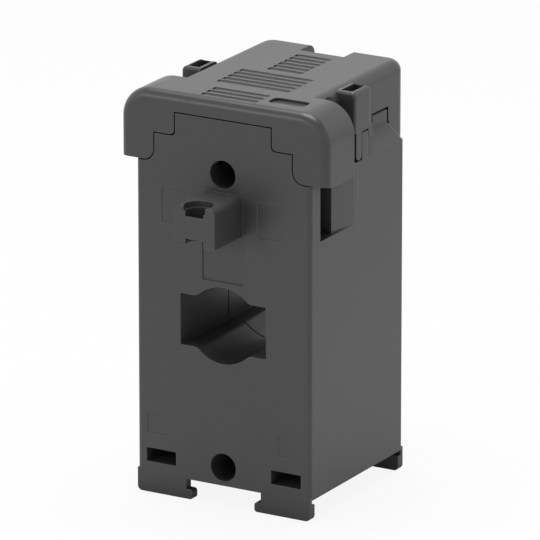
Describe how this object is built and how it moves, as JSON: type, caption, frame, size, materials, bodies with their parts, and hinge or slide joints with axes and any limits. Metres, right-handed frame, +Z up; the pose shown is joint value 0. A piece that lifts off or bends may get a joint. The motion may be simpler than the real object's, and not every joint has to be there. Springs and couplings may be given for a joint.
{
  "type": "current transformer",
  "caption": "Window-type current transformer: upright grey plastic housing with a slotted round window, hooked feet, a screw guide and a lift-off terminal cover with grip grooves.",
  "frame": {"origin": "on the floor under the feet, at the middle of the overall outline seen from above", "axes": "+X across the front to the right as seen by someone facing it, +Y from the front to the back, along the bar in the window, +Z up from the feet to the cover"},
  "size_m": [0.0744, 0.0892, 0.1328],
  "materials": {
    "housing_plastic": "satin, fine grained",
    "cover_plastic": "satin, fine grained",
    "core_steel": "rolled strip edges",
    "cup_plastic": "matte",
    "winding_copper": "lacquered copper wire",
    "tape_film": "glossy film",
    "cushion_foam": "open foam",
    "carrier_plastic": "matte",
    "tinned_bar": "dull tin",
    "spring_steel": "bright spring strip",
    "lead_copper": "lacquered copper wire",
    "sleeve_plastic": "smooth"
  },
  "bodies": {
    "housing": {"back_shell": "housing_plastic", "carrier_left": "carrier_plastic", "carrier_right": "carrier_plastic", "clamp_back_left": "spring_steel", "clamp_back_right": "spring_steel", "clamp_front_left": "spring_steel", "clamp_front_right": "spring_steel", "core_cup_back": "cup_plastic", "core_cup_front": "cup_plastic", "current_bar_left": "tinned_bar", "current_bar_right": "tinned_bar", "cushion_back": "cushion_foam", "cushion_front": "cushion_foam", "front_shell": "housing_plastic", "lead_left": "lead_copper", "lead_right": "lead_copper", "lead_sleeve_left": "sleeve_plastic", "lead_sleeve_right": "sleeve_plastic", "ring_core": "core_steel", "secondary_winding": "winding_copper", "winding_tape": "tape_film"},
    "cover": {"terminal_cover": "cover_plastic"}
  },
  "joints": [
    {"name": "cover_lift", "type": "slide", "parent": "housing", "child": "cover", "axis": [0, 0, 1], "range_m": [0, 0.03]}
  ]
}
